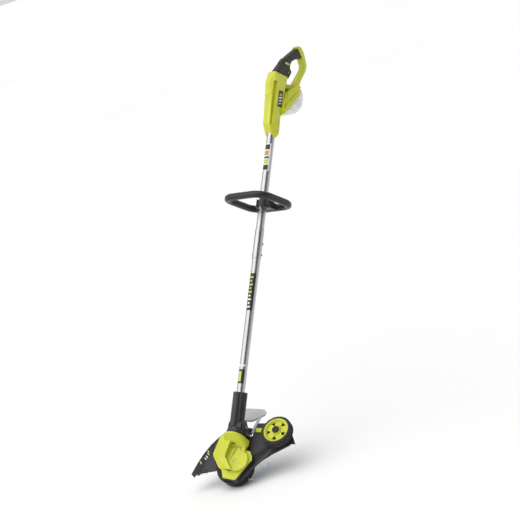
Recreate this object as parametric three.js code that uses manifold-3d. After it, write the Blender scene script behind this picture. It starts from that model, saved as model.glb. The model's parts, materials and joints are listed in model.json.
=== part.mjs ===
// Cordless string lawn edger: a battery handle on a two-piece tube, a loop handle,
// a swivelling and tilting head with a foot pedal, a string spool and an edge wheel.
// Millimetres, +Z up. The origin is on the ground, under the middle of the whole tool.
// The tool frame inside has its own axes: z up the shaft, x to the user's left, and
// y towards the user, the side that the battery is on.
import * as THREE from "three";
import { mergeVertices } from "three/addons/utils/BufferGeometryUtils.js";
import { ConvexGeometry } from "three/addons/geometries/ConvexGeometry.js";
import Module from "manifold-3d";

const wasm = await Module();
wasm.setup();

const DEG = Math.PI / 180;
const GAP = 0.3; // clearance between neighbouring pieces
const WALL = 2.6; // moulded wall
const ROUND = 32; // facets round a visible turned part
const FAR = 60; // a cutting tool's reach, past anything it cuts

// The stance: the shaft leans back to the user, and the lowest point is on the ground.
const LEAN = 35 * DEG;
const SHAFT_FOOT = [-24, -329, 148]; // where the shaft's axis meets the tool frame's origin

// Shaft.
const SHAFT_R = 12.5;
const SHAFT_WALL = 1.4;
const SHAFT_BOTTOM = 30;
const SHAFT_SPLIT = 592;
const SHAFT_TOP = 1000;
const SLEEVE_R = 14;
const SLEEVE_LOW = 524;
const SLEEVE_HIGH = 618;
const SCREW_SIDE = 42 * DEG; // round the shaft, from +x towards +y
const SLEEVE_SCREW_HEIGHTS = [537, 571];
const BUTTON_HEIGHT = 533;
const CABLE_R = 3;

// Main handle.
const BODY_HALF = 21;
const BODY_BOTTOM = 911.5;
const BODY_TOP = 1119;
const BODY_CHAMFER = 7;
const GRIP_HALF = 14;
const GRIP_TURN = -45 * DEG; // the grip's rear end leans this far back from the shaft
const SLEEVE_THICK = 2.6;
const LOOP_HALF = 12;
const TRIGGER_PIVOT = [27, 1125];
const TRIGGER_PIN_R = 2;
const LOCK_CENTRE = [20, 1160];
const HOUSING_SCREWS = [[-14, 945], [-12, 1090], [84, 1226], [104, 1166]];

// The grip's centre line in (y, z), with its half thickness.
const GRIP_LINE = [[1, 1112, 25], [14, 1138, 23], [22, 1155, 19.5], [28, 1170, 13.5],
  [36, 1184, 11.5], [57, 1204, 13], [79, 1218, 19]];

// Battery dock and pack, measured up the dock's face from its foot and out from the face.
const DOCK_HALF = 38;
const DOCK_FOOT = [13, 987];
const DOCK_SLOPE = Math.atan2(103, 72); // the dock face, in the y-z plane
const RAIL_X = 25;
const PACK_LOW = 24;
const PACK_HIGH = 124;
const PACK_DEPTH = 36;
const PACK_HALF = 35;
const LATCH_LOW = 66;

// Loop handle.
const RING_HEIGHT = 698;
const RING_X = 184;
const RING_Y = 168;
const RING_CENTRE_Y = -22;
const RING_CORNER = 50;
const BAR = 22;
const BAR_ROUND = 7;
const SADDLE_R = 21;
const SADDLE_HALF = 13;

// Neck and head.
const NECK_TOP = 111;
const LOBE_R = 15;
const LOBE_OFFSET = 6.5;
const LOBE_SIDE = 31 * DEG; // the way the two halves face, round the shaft
const SLIT = 0.6;
const HEAD_SWIVEL = 15 * DEG; // at rest, of the 0 to 90 degree swivel
const HEAD_TILT = 22 * DEG; // at rest, of the 0 to 36 degree tilt
const HINGE_Y = 8;
const HINGE_Z = 8;
const BARREL_R = 22;
const BARREL_HALF = 21;
const CHEEK = 26.5;
const COLLAR_Y = 4; // the collar's middle, behind the hinge
const HOOD_R = 35;
const PIN_R = 4;

// Head frame: origin on the hinge, x along the hinge, y to the ground side, z up the head.
const MOTOR_X = 9;
const MOTOR_Z = -111;
const MOTOR_R = 22;
const ROTOR_SHAFT_R = 4;
const FLANGE_Y = 21; // the motor cover's flange, from here to BASE_Y
const BASE_Y = 24.4; // the black motor base, from here to GUARD_Y
const GUARD_Y = 36; // the guard plate's upper face
const PLATE = 3;
const CUP_R = 53;
const CUP_Y = 40.5;
const LINE_ANGLE = 32 * DEG;
const WHEEL_X = 130;
const WHEEL_Z = -3;
const WHEEL_R = 48;
const WHEEL_FRONT = -5;
const WHEEL_WIDTH = 28;
const HUB_R = 38.5;
const AXLE_R = 4;
const PEDAL_Y = 40;
const PEDAL_Z = 10;
const PEDAL_ARM_X = 31.5;
const PEDAL_PIN_R = 3;
const TREAD_SLOPE = 24.8 * DEG; // the pedal's tread, back from the head's z
const RELEASE_X = 53;
const RELEASE_Z = 12;
const GUARD_SCREWS = [[-54, -72], [54, -76], [-50, -34]];
const CUTTER_SCREW = [-86, 0, -133];

const COLOURS = {
  lime: [0xc9d83c, 0.45, 0.0],
  black: [0x2b2c2e, 0.55, 0.0],
  rubber: [0x1e1f21, 0.8, 0.0],
  aluminium: [0xc8cacc, 0.25, 1.0],
  steel: [0xa9adb1, 0.3, 1.0],
  grey: [0xbfc1c2, 0.45, 0.0],
  frost: [0xe6e7ea, 0.6, 0.0],
  nylon: [0x8fb2cc, 0.35, 0.0],
};

const X = new THREE.Vector3(1, 0, 0);
const Y = new THREE.Vector3(0, 1, 0);
const Z = new THREE.Vector3(0, 0, 1);
const ALONG_X = new THREE.Matrix4().makeBasis(Y, Z, X);
const ALONG_Y = new THREE.Matrix4().makeBasis(X, Z, Y.clone().negate());

// A closed geometry as a solid that can be joined and cut.
function solid(geometry) {
  const bare = geometry.clone();
  bare.deleteAttribute("normal");
  bare.deleteAttribute("uv");
  const merged = mergeVertices(bare, 1e-4);
  return new wasm.Manifold(
    new wasm.Mesh({
      numProp: 3,
      vertProperties: new Float32Array(merged.attributes.position.array),
      triVerts: new Uint32Array(merged.index.array),
    }),
  );
}

function geometryOf(manifold) {
  const mesh = manifold.getMesh();
  const geometry = new THREE.BufferGeometry();
  geometry.setAttribute("position", new THREE.BufferAttribute(mesh.vertProperties, 3));
  geometry.setIndex(new THREE.BufferAttribute(mesh.triVerts, 1));
  geometry.computeVertexNormals();
  return geometry;
}

function join(...geometries) {
  return geometryOf(geometries.map(solid).reduce((a, b) => a.add(b)));
}

function cut(geometry, ...tools) {
  return geometryOf(tools.map(solid).reduce((a, b) => a.subtract(b), solid(geometry)));
}

function common(a, b) {
  return geometryOf(solid(a).intersect(solid(b)));
}

// The largest piece of a solid, without the crumbs that a cut can leave.
function largest(manifold) {
  return geometryOf(manifold.decompose().sort((a, b) => b.volume() - a.volume())[0]);
}

function outline(points) {
  return new THREE.Shape(points.map(([u, v]) => new THREE.Vector2(u, v)));
}

function box(width, depth, height, x, y, z) {
  return new THREE.BoxGeometry(width, depth, height).translate(x, y, z);
}

// Slabs cut from an outline: (y, z) outlines run along x, (x, z) ones along y, (x, y) ones up z.
function slab(shape, depth, curve) {
  return new THREE.ExtrudeGeometry(shape, { depth, bevelEnabled: false, curveSegments: curve });
}

function slabX(shape, x0, x1, curve = 8) {
  return slab(shape, x1 - x0, curve).applyMatrix4(ALONG_X).translate(x0, 0, 0);
}

function slabY(shape, y0, y1, curve = 8) {
  return slab(shape, y1 - y0, curve).applyMatrix4(ALONG_Y).translate(0, y1, 0);
}

function slabZ(shape, z0, z1, curve = 8) {
  return slab(shape, z1 - z0, curve).translate(0, 0, z0);
}

// A slab along x with its two long rims chamfered.
function softSlabX(shape, half, chamfer, curve = 8) {
  const options = {
    depth: 2 * (half - chamfer),
    bevelThickness: chamfer,
    bevelSize: chamfer,
    bevelOffset: -chamfer,
    bevelSegments: 1,
    curveSegments: curve,
  };
  const geometry = new THREE.ExtrudeGeometry(shape, options).applyMatrix4(ALONG_X);
  return geometry.translate(-half + chamfer, 0, 0);
}

// Turned parts: the profile is (radius, height) pairs, and the axis is z.
function turned(profile, facets = ROUND) {
  const points = profile.map(([r, h]) => new THREE.Vector2(r, h));
  return new THREE.LatheGeometry(points, facets).rotateX(Math.PI / 2);
}

function rod(radius, z0, z1, facets = ROUND) {
  return turned([[0, z0], [radius, z0], [radius, z1], [0, z1]], facets);
}

function tube(inner, outer, z0, z1, facets = ROUND) {
  return turned([[inner, z0], [outer, z0], [outer, z1], [inner, z1], [inner, z0]], facets);
}

// A part turned on z, laid along x or along y (its +z end points to +x or to +y).
function layX(geometry, x, y, z) {
  return geometry.rotateY(Math.PI / 2).translate(x, y, z);
}

function layY(geometry, x, y, z) {
  return geometry.rotateX(-Math.PI / 2).translate(x, y, z);
}

function pinHoleX(radius, y, z, facets = 16) {
  return layX(rod(radius + GAP, -FAR, FAR, facets), 0, y, z);
}

// A button-head screw on z: the head's top is at height 0 and the shank hangs below.
function screw(headR, headH, shankR, length) {
  const socketR = headR * 0.45;
  const rim = -headH * 0.5;
  const profile = [[0, -length], [shankR, -length], [shankR, -headH], [headR, -headH], [headR, rim],
    [headR * 0.7, 0], [socketR, 0], [socketR, rim], [0, rim]];
  return turned(profile, 10);
}

function mesh(name, geometry, colour) {
  const [color, roughness, metalness] = COLOURS[colour];
  const material = new THREE.MeshStandardMaterial({ color, roughness, metalness });
  const made = new THREE.Mesh(geometry, material);
  made.name = name;
  return made;
}

// ---------------------------------------------------------------- main handle

const BODY_OUTLINE = outline([[20, 928], [18, 960], [18, 1000], [22, 1040], [26, 1090], [29, BODY_TOP],
  [-30, BODY_TOP], [-37.5, 1088], [-34.5, 1041], [-33, 1039], [-30, 1000], [-26.5, 950], [-20, 938],
  [-12, 924],
  [-3, BODY_BOTTOM], [9, BODY_BOTTOM + 1.5]]);

const BODY_HOLLOW = outline([[-18, 1003], [-12, 999], [12, 999], [18, 1040], [23, 1106], [-18, 1106]]);

// The green tail that runs from the grip's rear end down to the dock.
const LOOP_OUTLINE = outline([[20, 1080], [84, 1088], [91, 1106], [98, 1132], [110, 1157], [116, 1177],
  [115, 1189], [104, 1210], [92, 1228], [80, 1237], [67, 1237], [58, 1230], [87, 1201],
  [99, 1183], [99, 1171], [87, 1144], [70, 1112], [60, 1104], [30, 1096]]);

const DOCK_OUTLINE = outline([[...DOCK_FOOT], [86, 1092], [83, 1102], [68, 1104], [22, 1064], [8, 1000]]);

// The dock's rim seen square to its face: x, and distance up the face.
const DOCK_PLAN = outline([[-23, -4], [-34, 14], [-DOCK_HALF, 50], [-36, 96], [-24, 140], [24, 140], [36, 96],
  [DOCK_HALF, 50], [34, 14], [23, -4]]);

function gripOutline(inset) {
  const near = [];
  const far = [];
  GRIP_LINE.forEach(([y, z, half], i) => {
    const [y0, z0] = GRIP_LINE[Math.max(i - 1, 0)];
    const [y1, z1] = GRIP_LINE[Math.min(i + 1, GRIP_LINE.length - 1)];
    const across = new THREE.Vector2(z1 - z0, y0 - y1).normalize().multiplyScalar(half - inset);
    near.push([y + across.x, z + across.y]);
    far.unshift([y - across.x, z - across.y]);
  });
  return outline([...near, ...far]);
}

// A point on the dock: distance up its face from the foot, and depth out from the face.
function onDock(along, out) {
  const c = Math.cos(DOCK_SLOPE);
  const s = Math.sin(DOCK_SLOPE);
  return [DOCK_FOOT[0] + along * c + out * s, DOCK_FOOT[1] + along * s - out * c];
}

function dockBand(along0, along1, out0, out1) {
  return outline([onDock(along0, out0), onDock(along0, out1), onDock(along1, out1), onDock(along1, out0)]);
}

function dockBlock() {
  const plan = slabZ(DOCK_PLAN, -FAR, FAR);
  plan.rotateX(DOCK_SLOPE).translate(0, ...DOCK_FOOT);
  const block = common(softSlabX(DOCK_OUTLINE, DOCK_HALF, 3), plan);
  const steps = [1, -1].map((side) => {
    const x = side * (DOCK_HALF - 7);
    return slabX(dockBand(-20, 130, -60, -11), Math.min(x, x + side * FAR), Math.max(x, x + side * FAR));
  });
  return cut(block, ...steps);
}

// The long groove down each side, between the front shell and the side wall.
function sideGroove(side) {
  const section = [[32, -31.5], [14.4, -31.5], [12.8, -25], [12.4, -19.2], [BODY_HALF, -20.2], [32, -20.2]];
  return slabZ(outline(section.map(([x, y]) => [side * x, y])), 946, 1088);
}

// The broad facet at the left of the front shell's upper part, above the step.
function frontFacet() {
  return slabZ(outline([[4, -38], [14.4, -31.5], [30, -31.5], [30, -50], [4, -50]]), 1040, BODY_TOP + 5);
}

function housingOuter() {
  const body = softSlabX(BODY_OUTLINE, BODY_HALF, BODY_CHAMFER);
  const core = softSlabX(gripOutline(SLEEVE_THICK), GRIP_HALF - SLEEVE_THICK, 4);
  const loop = softSlabX(LOOP_OUTLINE, LOOP_HALF, 3);
  return cut(join(body, core, loop, dockBlock()), sideGroove(1), sideGroove(-1), frontFacet());
}

function housingCavity() {
  const grip = slabX(gripOutline(SLEEVE_THICK + WALL), 3 - GRIP_HALF + WALL, GRIP_HALF - 3 - WALL);
  const corners = [1, -1].map((side) => box(40, 40, 300, side * 30.5, -33, 1050));
  return join(cut(slabX(BODY_HOLLOW, -15, 15), ...corners), grip);
}

// The trigger's slot, shared by the housing and the sleeve.
function triggerSlot() {
  return slabX(outline([[17, 1120], [32, 1112], [62, 1112], [64, 1165], [34, 1165], [18, 1134]]), -7.5, 7.5);
}

// The lock-off button crosses the grip in a slot.
function lockBolt(extra, half) {
  return box(2 * half, 17 + extra, 5.5 + extra, 0, ...LOCK_CENTRE);
}

// Channels for the pack's two rails, open at the dock's upper end.
function railChannels(extra) {
  const rails = [];
  for (const x of [-RAIL_X, RAIL_X]) {
    rails.push(slabX(dockBand(30 - extra, 150, -6 - extra, 2), x - 2 - extra, x + 2 + extra));
    rails.push(slabX(dockBand(30 - extra, 150, -7.5 - extra, -4 + extra), x - 4 - extra, x + 4 + extra));
  }
  return join(...rails);
}

function badgeOutline(extra) {
  const low = [[-8.8 - extra, 1008.5 - extra], [10.7 + extra, 1011 - extra]];
  const high = [[10.2 + extra, 1064.5 + extra], [-9.3 - extra, 1062 + extra]];
  return outline([...low, ...high]);
}

function housingOpenings() {
  const socket = rod(SHAFT_R + GAP, BODY_BOTTOM - 5, SHAFT_TOP + GAP);
  const terminals = slabX(dockBand(36, 96, -9, 5), -15, 15);
  const badge = slabX(badgeOutline(GAP), BODY_HALF - 1.2, BODY_HALF + 5);
  return join(socket, triggerSlot(), lockBolt(0.6, 40), terminals, railChannels(GAP + 0.2), badge);
}

function housingHalf(side) {
  const middle = side * (50 + GAP / 2);
  let made = solid(housingOuter())
    .subtract(solid(housingCavity()))
    .subtract(solid(housingOpenings()))
    .intersect(solid(box(100, 400, 500, middle, 40, 1080)))
    .subtract(solid(layX(rod(TRIGGER_PIN_R + GAP, -9.5, 9.5, 12), 0, ...TRIGGER_PIVOT)));
  for (const [y, z] of HOUSING_SCREWS) {
    made = made.subtract(solid(layX(rod(3.4, -FAR, -6, 10), 0, y, z)));
    made = made.subtract(solid(layX(rod(1.8, -7, 7, 10), 0, y, z)));
  }
  return largest(made);
}

// The rubber sleeve over the grip, with a thumb rest on top and open at both ends.
function gripSleeve() {
  const rest = slabX(outline([[-2, 1157], [4, 1157], [20, 1176], [14, 1180], [8, 1173]]), -8, 8);
  const outside = join(softSlabX(gripOutline(0), GRIP_HALF, 5), rest);
  const inside = softSlabX(gripOutline(SLEEVE_THICK - GAP), GRIP_HALF - SLEEVE_THICK + GAP, 4);
  const below = box(90, 140, 100, 0, 20, BODY_TOP + GAP - 50);
  const beyond = box(90, 90, FAR, 0, 0, FAR / 2).rotateX(GRIP_TURN).translate(0, 72, 1214.6);
  return largest(solid(cut(outside, inside, below, beyond, triggerSlot(), lockBolt(0.6, 40))));
}

function triggerShape() {
  const lever = slabX(outline([[23, 1122], [36, 1117], [42, 1119], [51, 1138], [53, 1146], [46, 1152],
    [43, 1161], [38, 1160], [33, 1144], [24, 1131]]), -6, 6);
  return cut(lever, layX(rod(TRIGGER_PIN_R + GAP, -10, 10, 12), 0, ...TRIGGER_PIVOT));
}

function packCase() {
  const swell = [[0, 0], [0, 0.38], [0.09, 0.66], [0.24, 0.89], [0.45, 1], [0.65, 0.94], [0.83, 0.7],
    [0.96, 0.36], [1, 0]];
  const side = outline(swell.map(([along, out]) =>
    onDock(PACK_LOW + along * (PACK_HIGH - PACK_LOW), 0.5 + out * PACK_DEPTH)));
  const block = softSlabX(side, PACK_HALF, 6);
  const rails = common(railChannels(0), slabX(dockBand(31, PACK_HIGH - 4, -9, 3), -40, 40));
  return cut(join(block, rails), latchBlock(-1, GAP, 6), latchBlock(1, GAP, 6));
}

// A pack latch button in its pocket, at the side of the pack's lower end.
function latchBlock(side, extra, depth) {
  const edge = side * (PACK_HALF + 1.5);
  const inner = side * (PACK_HALF + 1.5 - depth);
  const band = dockBand(LATCH_LOW - extra, LATCH_LOW + 24 + extra, 9 - extra, 23 + extra);
  return slabX(band, Math.min(edge, inner), Math.max(edge, inner));
}

function addHandle(group) {
  group.add(mesh("housing_left", housingHalf(1), "lime"));
  group.add(mesh("housing_right", housingHalf(-1), "lime"));
  group.add(mesh("grip_sleeve", gripSleeve(), "rubber"));
  group.add(mesh("badge_plate", slabX(badgeOutline(0), BODY_HALF - 1, BODY_HALF + 0.6), "black"));
  group.add(mesh("trigger", triggerShape(), "black"));
  const pin = layX(rod(TRIGGER_PIN_R, -9.2, 9.2, 12), 0, ...TRIGGER_PIVOT);
  group.add(mesh("trigger_pin", pin, "steel"));
  group.add(mesh("lock_off_button", lockBolt(0, GRIP_HALF + 2.5), "lime"));
  group.add(mesh("switch_body", box(15, 18, 22, 0, 2, 1088), "black"));
  group.add(mesh("dock_terminals", slabX(dockBand(37, 95, -8.5, 0.1), -14.5, 14.5), "black"));
  group.add(mesh("battery_case", packCase(), "frost"));
  group.add(mesh("battery_latch_left", latchBlock(1, 0, 3.5), "frost"));
  group.add(mesh("battery_latch_right", latchBlock(-1, 0, 3.5), "frost"));
  HOUSING_SCREWS.forEach(([y, z], i) => {
    const made = layX(screw(3, 2, 1.4, 12).rotateX(Math.PI), -8, y, z);
    group.add(mesh("housing_screw_" + (i + 1), made, "steel"));
  });
}

// ---------------------------------------------------------------- shaft

// A part on z, pointing outwards from the shaft at an angle round it.
function outwards(geometry, angle, radius, z) {
  geometry.rotateY(Math.PI / 2).translate(radius, 0, 0);
  return geometry.rotateZ(angle).translate(0, 0, z);
}

function fastenerHoles() {
  const screws = SLEEVE_SCREW_HEIGHTS.map((z) => outwards(rod(2.2, 5, 20, 12), SCREW_SIDE, 0, z));
  return [...screws, outwards(rod(3.3, 5, 20, 12), SCREW_SIDE + Math.PI, 0, BUTTON_HEIGHT)];
}

function addShaft(group) {
  const bore = SHAFT_R - SHAFT_WALL;
  const lower = cut(tube(bore, SHAFT_R, SHAFT_BOTTOM, SHAFT_SPLIT - GAP / 2), ...fastenerHoles());
  const upper = tube(bore, SHAFT_R, SHAFT_SPLIT + GAP / 2, SHAFT_TOP);
  const sleeve = turned([[SHAFT_R + GAP, SLEEVE_LOW], [SLEEVE_R, SLEEVE_LOW], [SLEEVE_R, SLEEVE_HIGH - 4],
    [SHAFT_R + 0.8, SLEEVE_HIGH], [SHAFT_R + GAP, SLEEVE_HIGH], [SHAFT_R + GAP, SLEEVE_LOW]]);
  group.add(mesh("lower_shaft", lower, "aluminium"));
  group.add(mesh("upper_shaft", upper, "aluminium"));
  group.add(mesh("coupling_sleeve", cut(sleeve, ...fastenerHoles()), "aluminium"));
  SLEEVE_SCREW_HEIGHTS.forEach((z, i) => {
    const made = outwards(screw(3.6, 2.4, 1.8, 8), SCREW_SIDE, SLEEVE_R + 2.7, z);
    group.add(mesh("coupling_screw_" + (i + 1), made, "steel"));
  });
  const dome = [[2.9, SLEEVE_R + 0.8], [1.6, SLEEVE_R + 2], [0, SLEEVE_R + 2]];
  const button = turned([[0, 7], [2.9, 7], ...dome], 12);
  group.add(mesh("locating_button", outwards(button, SCREW_SIDE + Math.PI, 0, BUTTON_HEIGHT), "steel"));
  group.add(mesh("power_cable", rod(CABLE_R, SHAFT_BOTTOM + 6, SHAFT_TOP + 40, 10), "black"));
}

// ---------------------------------------------------------------- loop handle

function roundedRectangle(width, depth, corner) {
  const w = width / 2 - corner;
  const d = depth / 2 - corner;
  const shape = new THREE.Shape();
  shape.absarc(w, d, corner, 0, Math.PI / 2);
  shape.absarc(-w, d, corner, Math.PI / 2, Math.PI);
  shape.absarc(-w, -d, corner, Math.PI, 1.5 * Math.PI);
  shape.absarc(w, -d, corner, 1.5 * Math.PI, 2 * Math.PI);
  return shape;
}

function loopHandle() {
  const ring = roundedRectangle(RING_X - 2 * BAR_ROUND, RING_Y - 2 * BAR_ROUND, RING_CORNER - BAR_ROUND);
  const inside = 2 * (BAR - BAR_ROUND);
  ring.holes.push(roundedRectangle(RING_X - inside, RING_Y - inside, RING_CORNER - inside / 2));
  const options = {
    depth: BAR - 2 * BAR_ROUND,
    bevelThickness: BAR_ROUND,
    bevelSize: BAR_ROUND,
    bevelSegments: 3,
    curveSegments: 7,
  };
  const bar = new THREE.ExtrudeGeometry(ring, options);
  bar.translate(0, RING_CENTRE_Y, RING_HEIGHT - BAR / 2 + BAR_ROUND);
  const saddle = rod(SADDLE_R, RING_HEIGHT - SADDLE_HALF, RING_HEIGHT + SADDLE_HALF);
  const web = box(34, 40, 2 * SADDLE_HALF - 6, 4, 26, RING_HEIGHT);
  const bore = rod(SHAFT_R + GAP, RING_HEIGHT - 40, RING_HEIGHT + 40);
  const mouth = box(21, 60, 60, 0, -30, RING_HEIGHT).rotateZ(-24 * DEG);
  const thread = layX(rod(3.3, 0, 40, 12), 0, 0, RING_HEIGHT);
  return cut(join(bar, saddle, web), bore, mouth, thread);
}

function clampKnob() {
  const grip = new THREE.Shape();
  const lobes = 6;
  const steps = lobes * 6;
  for (let i = 0; i < steps; i++) {
    const a = (2 * Math.PI * i) / steps;
    const r = 12 + 1.2 * Math.cos(lobes * a);
    if (i) grip.lineTo(r * Math.cos(a), r * Math.sin(a));
    else grip.moveTo(r * Math.cos(a), r * Math.sin(a));
  }
  const cap = slabZ(grip, SADDLE_R + 1, SADDLE_R + 15);
  const shank = rod(3, SHAFT_R + GAP, SADDLE_R + 3, 12);
  return layX(join(cap, shank), 0, 0, RING_HEIGHT);
}

function addLoop(group) {
  group.add(mesh("loop_handle", loopHandle(), "black"));
  group.add(mesh("clamp_knob", clampKnob(), "black"));
}

// ---------------------------------------------------------------- neck

// One half of the neck: a lobe beside the slit, bored for the shaft, on the hinge barrel.
function neckHalf(side) {
  const lobe = new THREE.Shape().absarc(side * LOBE_OFFSET, 0, LOBE_R, 0, 2 * Math.PI);
  const column = slabZ(lobe, HINGE_Z + 2, NECK_TOP, 10);
  column.rotateZ(LOBE_SIDE);
  const barrel = layX(rod(BARREL_R, -BARREL_HALF, BARREL_HALF), 0, HINGE_Y, HINGE_Z);
  const keep = box(100, 200, 400, side * (50 + SLIT / 2), 0, 0).rotateZ(LOBE_SIDE);
  const made = solid(column)
    .add(solid(barrel))
    .intersect(solid(keep))
    .subtract(solid(rod(SHAFT_R + GAP, -FAR, NECK_TOP + 1)))
    .subtract(solid(pinHoleX(PIN_R, HINGE_Y, HINGE_Z)));
  return largest(made);
}

// The plug that fills the neck below the shaft and carries the hinge pin.
function neckPlug() {
  const plug = rod(SHAFT_R, -14, SHAFT_BOTTOM - GAP);
  const inBarrel = layX(rod(BARREL_R - 1, -40, 40), 0, HINGE_Y, HINGE_Z);
  const above = box(60, 60, 40, 0, 0, HINGE_Z + 20);
  return cut(common(plug, join(inBarrel, above)), pinHoleX(PIN_R, HINGE_Y, HINGE_Z));
}

function addNeck(group) {
  group.add(mesh("neck_half_near", neckHalf(1), "black"));
  group.add(mesh("neck_half_far", neckHalf(-1), "black"));
  group.add(mesh("neck_plug", neckPlug(), "black"));
}

// ---------------------------------------------------------------- head

// The yoke that carries the hinge and the pedal, with a round skirt down to the motor base.
function headCollar() {
  const profile = [[0, -33.2], [31.4, -33.2], [31.4, -30], [30, -6], [28.5, 9], [0, 9]];
  const body = turned(profile, 36).translate(0, COLLAR_Y, 0);
  const web = outline([[-13, -26], [33, -26], [35, -7], [47, 0], [48, 18], [33, 18], [12, 6]]);
  const webs = slabX(web, -CHEEK, CHEEK);
  const back = box(100, 60, 100, 0, FLANGE_Y + 1 + 30, -50 - 26);
  const saddle = layX(rod(BARREL_R + 0.6, -BARREL_HALF - 0.5, BARREL_HALF + 0.5), 0, 0, 0);
  const neckRoom = box(2 * BARREL_HALF + 1, 60, 60, 0, -6, 30 - 14.5);
  const between = box(2 * BARREL_HALF + 1, 40, 60, 0, 40, 9);
  const pins = [pinHoleX(PIN_R, 0, 0), pinHoleX(PEDAL_PIN_R, PEDAL_Y, PEDAL_Z, 12)];
  return cut(join(body, webs), back, saddle, neckRoom, between, ...pins);
}

const COVER_BASE = [[-39, -2], [-62, -20], [-67, -81], [-63, -91], [-34, -126], [-21, -134], [-9, -159],
  [28, -163], [34, -162], [61, -104], [67, -94], [65, -84], [55, -68], [36, -63], [37, -41], [30, -30],
  [14, -17], [-8, -8]];

// The hood of the motor cover, which wraps the front of the collar and slopes down to the panel.
function coverHood() {
  const rim = [];
  for (let i = 0; i <= 20; i++) {
    const turn = (-198 + i * 10.8) * DEG;
    const [x, y] = [HOOD_R * Math.cos(turn), COLLAR_Y + HOOD_R * Math.sin(turn)];
    rim.push(new THREE.Vector3(x, y, -32), new THREE.Vector3(x, y, -36.5));
  }
  const foot = [[-46, FLANGE_Y, -24], [-40, FLANGE_Y, -50], [-8, -6, -47], [6, 2, -56], [24, 9, -60],
    [38, 12, -62], [43, FLANGE_Y, -52], [42, FLANGE_Y, -34], [42, 10, -46]];
  return new ConvexGeometry([...rim, ...foot.map((p) => new THREE.Vector3(...p))]);
}

// The motor cover: a thin flange, a tower with broad facets on the left, a lower panel and the hood.
function motorCoverOuter() {
  const flange = slabY(outline(COVER_BASE), FLANGE_Y, BASE_Y);
  const foot = [[-39, FLANGE_Y, -4], [-60, FLANGE_Y, -22], [-65, FLANGE_Y, -80], [-56, 4, -88],
    [-34, FLANGE_Y, -122], [-20, FLANGE_Y, -130]].map((p) => new THREE.Vector3(...p));
  const ridge = [[-7, -7, -42], [-13.4, -1, -99], [19, 2, -141]].map((p) => new THREE.Vector3(...p));
  const inner = [[10, 3, -40], [36, 3, -60], [36, 3, -120]].map((p) => new THREE.Vector3(...p));
  const under = [[36, -120], [30, -28]].map(([x, z]) => new THREE.Vector3(x, FLANGE_Y, z));
  const tower = new ConvexGeometry([...foot, ...ridge, ...inner, ...under]);
  const face = outline([[-3, -30], [-6, -42], [-12, -98], [19, -139], [70, -139], [70, -10]]);
  const recess = slabY(face, -40, 12);
  const panel = new THREE.Shape();
  panel.moveTo(-18, -22);
  panel.lineTo(16, -19);
  panel.lineTo(33, -31);
  panel.lineTo(41, -48);
  panel.lineTo(39, -66);
  panel.absarc(25, -104, 34, 62 * DEG, -118 * DEG, true);
  panel.lineTo(-14, -98);
  return join(cut(tower, recess), flange, slabY(panel, 12, FLANGE_Y + 1, 14), coverHood());
}

function motorCover() {
  const hollow = layY(rod(MOTOR_R + 2, 14.5, FAR, 28), MOTOR_X, 0, MOTOR_Z);
  const lightening = slabY(outline([[-40, -52], [-43, -74], [-28, -96], [-20, -96], [-16, -52]]), 17, FAR);
  const collarRoom = turned([[0, -33.6], [32, -33.6], [32, 60], [0, 60]], 36).translate(0, COLLAR_Y, 0);
  const webRoom = box(2 * CHEEK + 1.2, 50, 80, 0, 29, 13.4);
  const made = cut(motorCoverOuter(), hollow, lightening, collarRoom, webRoom, ...guardScrewHoles(1.7));
  return largest(solid(made));
}

// The black lower half of the motor housing, between the cover's flange and the guard.
function motorBase() {
  const rim = COVER_BASE.map(([x, z]) => [x + Math.sign(x + 1) * 1.5, z - 1.5]);
  const block = slabY(outline(rim), BASE_Y + GAP, GUARD_Y - GAP);
  const bore = layY(rod(MOTOR_R + 3, 0, FAR, 28), MOTOR_X, 0, MOTOR_Z);
  const yokeRoom = box(96, FAR, 60, 14, FAR / 2, -7.3);
  return largest(solid(cut(block, bore, yokeRoom, ...guardScrewHoles(1.9))));
}

function guardScrewHoles(radius) {
  return GUARD_SCREWS.map(([x, z]) => layY(rod(radius, 22.6, FAR, 10), x, 0, z));
}

// The guard in plan: a fan to the left, a notch for the pedal, an ear and a lobe under the wheel.
function guardOutline() {
  const shape = new THREE.Shape();
  shape.moveTo(36, -8);
  shape.lineTo(-36, -8);
  shape.lineTo(-40, 8);
  shape.lineTo(-54, 6);
  shape.quadraticCurveTo(-112, -52, -126, -150);
  shape.lineTo(-99, -150);
  shape.lineTo(-95, -141);
  shape.lineTo(-46, -129);
  shape.absarc(MOTOR_X, MOTOR_Z, 57, 199 * DEG, 343 * DEG);
  shape.quadraticCurveTo(92, -82, 118, -60);
  shape.lineTo(167, -26);
  shape.lineTo(184, -24);
  shape.lineTo(166, 4);
  shape.absarc(WHEEL_X, WHEEL_Z, 36, 10 * DEG, 110 * DEG);
  shape.lineTo(76, 30);
  shape.lineTo(70, 39);
  shape.lineTo(40, 37);
  shape.lineTo(36, -8);
  return shape;
}

// A wall under the plate along a run of outline points.
function skirt(points, thick, y1) {
  const pieces = [];
  for (let i = 1; i < points.length; i++) {
    const [x0, z0] = points[i - 1];
    const [x1, z1] = points[i];
    const run = Math.hypot(x1 - x0, z1 - z0);
    const wall = box(run + thick / 2, y1 - GUARD_Y, thick, 0, (GUARD_Y + y1) / 2, 0);
    wall.rotateY(-Math.atan2(z1 - z0, x1 - x0)).translate((x0 + x1) / 2, 0, (z0 + z1) / 2);
    pieces.push(wall);
  }
  return join(...pieces);
}

// The steel blade that trims the string, under the guard's plate and proud of its lower edge.
function cutterBlade(extra, thick) {
  const blade = box(22 + extra, thick, 14 + extra, 0, 0, 0).rotateY(-14 * DEG);
  return blade.translate(-86, GUARD_Y + PLATE + GAP + thick / 2, -137);
}

function cutterHole() {
  return layY(rod(1.9, 0, FAR, 10), ...CUTTER_SCREW);
}

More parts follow.
